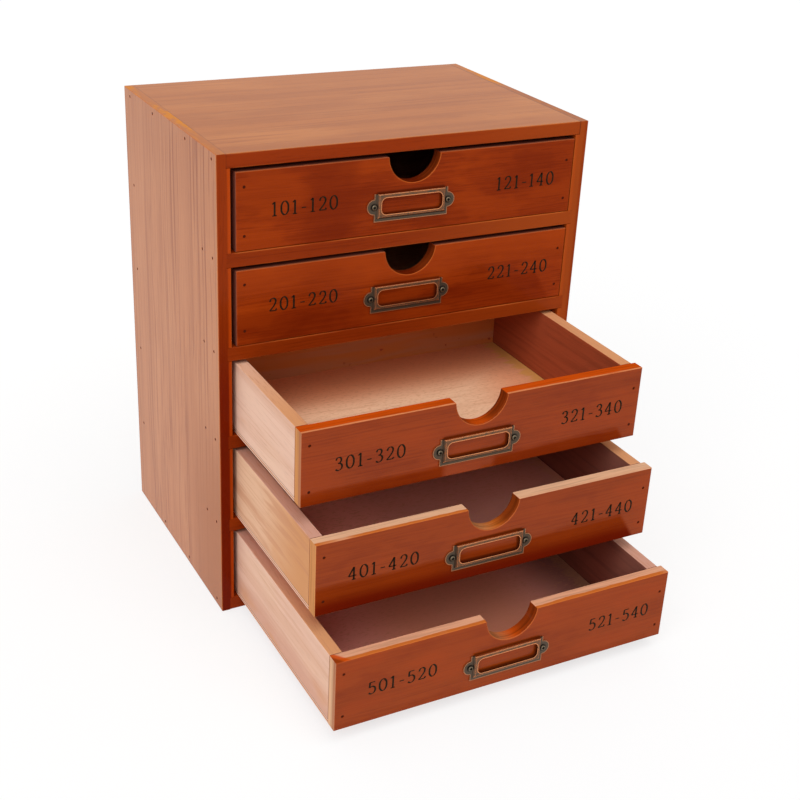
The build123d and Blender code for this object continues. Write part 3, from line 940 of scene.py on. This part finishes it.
class CABINET_OT_numbers(bpy.types.Operator):
    """Print plain numbers on the left and right of each drawer front"""

    bl_idname = "cabinet.print_numbers"
    bl_label = "Print numbers"

    # Half the pen's width on thin and thick strokes, and its steps along them, in shares of the figures' height
    thin_half, thick_half, pen_step = 0.026, 0.07, 0.05
    pen_angle = math.radians(14.0)

    # How deep the ink's back lies in the wood, and how near points are that become one, in metres
    bed, weld = 0.02 * MM, 1e-6

    def pen_tree(self, sizes):
        """Node tree that draws each stroke with a broad pen and gives the ink its thickness."""
        tree = bpy.data.node_groups.new("Pen strokes", "GeometryNodeTree")
        for name, way in (("Strokes", "INPUT"), ("Print", "OUTPUT")):
            tree.interface.new_socket(name, in_out=way, socket_type="NodeSocketGeometry")
        pen = Graph(tree)
        strokes = pen.node(
            "GeometryNodeResampleCurve", {"mode": "LENGTH"},
            {"Curve": pen.node("NodeGroupInput"), "Length": self.pen_step * sizes.height},
        )
        along = pen.split(pen.node("GeometryNodeInputTangent"))
        slant = abs(along[Y] * math.cos(self.pen_angle) - along[X] * math.sin(self.pen_angle))
        half = (self.thin_half + slant * (self.thick_half - self.thin_half)) * sizes.height
        strokes = pen.node("GeometryNodeSetCurveNormal", {"mode": "Z_UP"}, {"Curve": strokes})
        nib = pen.node("GeometryNodeCurvePrimitiveLine", None, {"Start": (-1.0, 0.0, 0.0), "End": (1.0, 0.0, 0.0)})
        ribbon = pen.node("GeometryNodeCurveToMesh", None, {"Curve": strokes, "Profile Curve": nib, "Scale": half})
        raised = pen.node(
            "GeometryNodeExtrudeMesh", {"mode": "FACES"},
            {"Mesh": ribbon, "Offset Scale": sizes.ink_depth + self.bed, "Individual": False},
        )
        joined = pen.node("GeometryNodeJoinGeometry", None, {0: [ribbon, raised]})
        closed = pen.node("GeometryNodeMergeByDistance", None, {"Geometry": joined, "Distance": self.weld})
        pen.node("NodeGroupOutput", None, {"Print": closed})
        return tree

    def ink(self, metal):
        recipe = Recipe("number_ink")
        stretched = recipe.vector("MULTIPLY", recipe.places(), (0.12, 1.0, 0.9))
        fibres = recipe.noise(stretched, 3.0, 0.6, 1.3)
        return recipe.surface({
            "Base Color": recipe.blend(metal.ink, recipe.shade(metal.ink, 1.7), fibres.step(0.45, 0.7)),
            "Roughness": 0.55 + fibres * 0.1, "Normal": recipe.bump(fibres, 0.02),
            "Specular IOR Level": 0.05, "Alpha": fibres.step(0.78, 0.6) * 0.12 + 0.88,
        })

    def strokes_of(self, text, spacing):
        """Strokes of a whole number about its middle, in shares of the figures' height."""
        drawn = []
        pen = 0.0
        for figure in text:
            width, strokes = FIGURES[figure]
            drawn += [[(x + pen, y) for x, y in stroke] for stroke in strokes]
            pen += width + spacing
        half = (pen - spacing) / 2
        return [[(x - half, y) for x, y in stroke] for stroke in drawn]

    def curve_of(self, name, numbers, sizes):
        """Curve object with every stroke, drawn flat: X to the right and Y up the front."""
        data = bpy.data.curves.new(name, "CURVE")
        data.dimensions = "3D"
        data.resolution_u = 16
        for middle, text in numbers:
            for stroke in self.strokes_of(text, sizes.spacing):
                closed = stroke[0] == stroke[-1]
                stroke = stroke[:-1] if closed else stroke
                spline = data.splines.new("BEZIER")
                spline.use_cyclic_u = closed
                spline.bezier_points.add(len(stroke) - 1)
                kind = "AUTO" if len(stroke) > 2 else "VECTOR"
                for point, (x, y) in zip(spline.bezier_points, stroke):
                    point.co = (middle + x * sizes.height, y * sizes.height, 0.0)
                    point.handle_left_type = kind
                    point.handle_right_type = kind
        return add(name, data)

    def number(self, tree, ink, sizes, drawer):
        front_low, front_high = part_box(f"drawer_{drawer}_front")
        first = drawer * sizes.series + 1
        middle = first + sizes.share
        last = middle + sizes.share
        numbers = (
            (front_low.x + sizes.left_inset, f"{first}-{middle - 1}"),
            (front_high.x - sizes.right_inset, f"{middle}-{last - 1}"),
        )
        curve = self.curve_of(f"drawer_{drawer}_strokes", numbers, sizes)
        curve.modifiers.new("Pen", "NODES").node_group = tree
        shown = curve.evaluated_get(bpy.context.evaluated_depsgraph_get())
        mesh = bpy.data.meshes.new_from_object(shown)
        bpy.data.objects.remove(curve)
        stand = Matrix.Rotation(math.pi / 2, 4, "X")
        shift = Matrix.Translation((0.0, front_low.y + self.bed, front_low.z + sizes.baseline))
        mesh.transform(shift @ stand)
        work = bmesh.new()
        work.from_mesh(mesh)
        bmesh.ops.recalc_face_normals(work, faces=work.faces)
        work.to_mesh(mesh)
        work.free()
        if not mesh.polygons:
            raise RuntimeError(f"drawer {drawer} got no number")
        piece = add(f"drawer_{drawer}_number", mesh)
        cover(piece, ink)
        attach(piece, f"drawer_{drawer}")

    def execute(self, context):
        sizes = context.scene.cabinet_numbers
        tree = self.pen_tree(sizes)
        ink = self.ink(context.scene.cabinet_metal)
        for drawer in DRAWERS:
            self.number(tree, ink, sizes, drawer)
        return {"FINISHED"}


class CABINET_OT_stage(bpy.types.Operator):
    """Set the floor, the light and the camera"""

    bl_idname = "cabinet.set_stage"
    bl_label = "Set stage"

    # Name, direction that the light comes from, strength and apparent size in degrees
    lamps = (
        ("key", (-0.68, -0.55, 0.75), 1.25, 45.0),
        ("top", (0.05, -0.4, 1.0), 0.95, 50.0),
    )
    lamp_distance = 2.0
    white = (1.0, 1.0, 1.0)
    floor_half, floor_drop = 6.0, 0.2 * MM

    def seen(self, graph):
        """1 for rays that come from the camera, a mirror or a pane."""
        path = graph.node("ShaderNodeLightPath", out="Is Camera Ray")
        glossy, through = (graph.output(path, f"Is {kind} Ray") for kind in ("Glossy", "Transmission"))
        return path.most(glossy).most(through)

    def floor(self, stage):
        work = bmesh.new()
        bmesh.ops.create_grid(work, x_segments=8, y_segments=8, size=self.floor_half)
        mesh = bpy.data.meshes.new("floor")
        work.to_mesh(mesh)
        work.free()
        made = add("floor", mesh)
        made.location = (0.0, 0.0, -self.floor_drop)
        recipe = Recipe("floor_paper")
        mottle = recipe.noise(recipe.node("ShaderNodeTexCoord", out="Object"), scale=3.0)
        colour = recipe.blend(stage.floor, recipe.shade(stage.floor, 0.98), mottle)
        paper = recipe.node("ShaderNodeBsdfDiffuse", None, {"Color": colour})
        glow = recipe.node("ShaderNodeEmission", None, {"Color": self.white, "Strength": 1.0})
        mixed = recipe.node("ShaderNodeMixShader", None, {0: self.seen(recipe) * stage.floor_glow, 1: paper, 2: glow})
        recipe.node("ShaderNodeOutputMaterial", None, {"Surface": mixed})
        cover(made, recipe.material)

    def world(self, stage):
        world = bpy.data.worlds.new("studio")
        world.use_nodes = True
        bpy.context.scene.world = world
        graph = Graph(world.node_tree)
        seen = self.seen(graph)
        strength = seen + (1.0 - seen) * stage.ambient
        light = graph.node("ShaderNodeBackground", None, {"Color": self.white, "Strength": strength})
        graph.node("ShaderNodeOutputWorld", None, {"Surface": light})

    def lamp(self, name, direction, strength, spread):
        data = bpy.data.lights.new(name, "SUN")
        data.energy = strength
        data.angle = math.radians(spread)
        made = add(name, data)
        made.location = Vector(direction) * self.lamp_distance
        made.rotation_euler = Vector(direction).to_track_quat("Z", "Y").to_euler()

    def camera(self, stage):
        data = bpy.data.cameras.new("camera")
        data.sensor_width = 36.0
        data.lens = stage.lens
        data.clip_start = 0.01
        turn = Matrix.Rotation(-stage.azimuth, 4, "Z") @ Matrix.Rotation(math.pi / 2 - stage.elevation, 4, "X")
        made = add("camera", data)
        made.matrix_world = Matrix.Translation(stage.place) @ turn @ Matrix.Rotation(stage.roll, 4, "Z")
        bpy.context.scene.camera = made

    def execute(self, context):
        stage = context.scene.cabinet_stage
        self.floor(stage)
        self.world(stage)
        for lamp in self.lamps:
            self.lamp(*lamp)
        self.camera(stage)
        context.scene.view_settings.view_transform = "Standard"
        return {"FINISHED"}


class CABINET_PT_panel(bpy.types.Panel):
    """Finishes and stage of the cabinet"""

    bl_idname = "CABINET_PT_panel"
    bl_label = "Cabinet"
    bl_space_type = "VIEW_3D"
    bl_region_type = "UI"
    bl_category = "Cabinet"

    def draw(self, context):
        layout = self.layout
        for owner, operator in STEPS:
            box = layout.box()
            settings = getattr(context.scene, owner)
            for name in settings.bl_rna.properties.keys():
                if name not in ("name", "rna_type"):
                    box.prop(settings, name)
            box.operator(operator)


STEPS = (
    ("cabinet_stage", "cabinet.set_stage"),
    ("cabinet_stain", "cabinet.finish_carcass"),
    ("cabinet_stain", "cabinet.finish_fronts"),
    ("cabinet_raw", "cabinet.finish_boxes"),
    ("cabinet_metal", "cabinet.finish_metal"),
    ("cabinet_numbers", "cabinet.print_numbers"),
)
GROUPS = {
    "cabinet_stain": CABINET_PG_stain,
    "cabinet_raw": CABINET_PG_raw,
    "cabinet_metal": CABINET_PG_metal,
    "cabinet_numbers": CABINET_PG_numbers,
    "cabinet_stage": CABINET_PG_stage,
}
CLASSES = (
    *GROUPS.values(), CABINET_OT_stage, CABINET_OT_carcass, CABINET_OT_fronts, CABINET_OT_boxes, CABINET_OT_metal,
    CABINET_OT_numbers, CABINET_PT_panel,
)


def register():
    for made in CLASSES:
        bpy.utils.register_class(made)
    for name, group in GROUPS.items():
        setattr(bpy.types.Scene, name, PointerProperty(type=group))


def unregister():
    for name in GROUPS:
        delattr(bpy.types.Scene, name)
    for made in reversed(CLASSES):
        bpy.utils.unregister_class(made)


def main():
    register()
    bpy.ops.cabinet.set_stage()
    bpy.ops.cabinet.finish_carcass()
    bpy.ops.cabinet.finish_fronts()
    bpy.ops.cabinet.finish_boxes()
    bpy.ops.cabinet.finish_metal()
    bpy.ops.cabinet.print_numbers()
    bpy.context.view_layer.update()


if __name__ == "__main__":
    main()
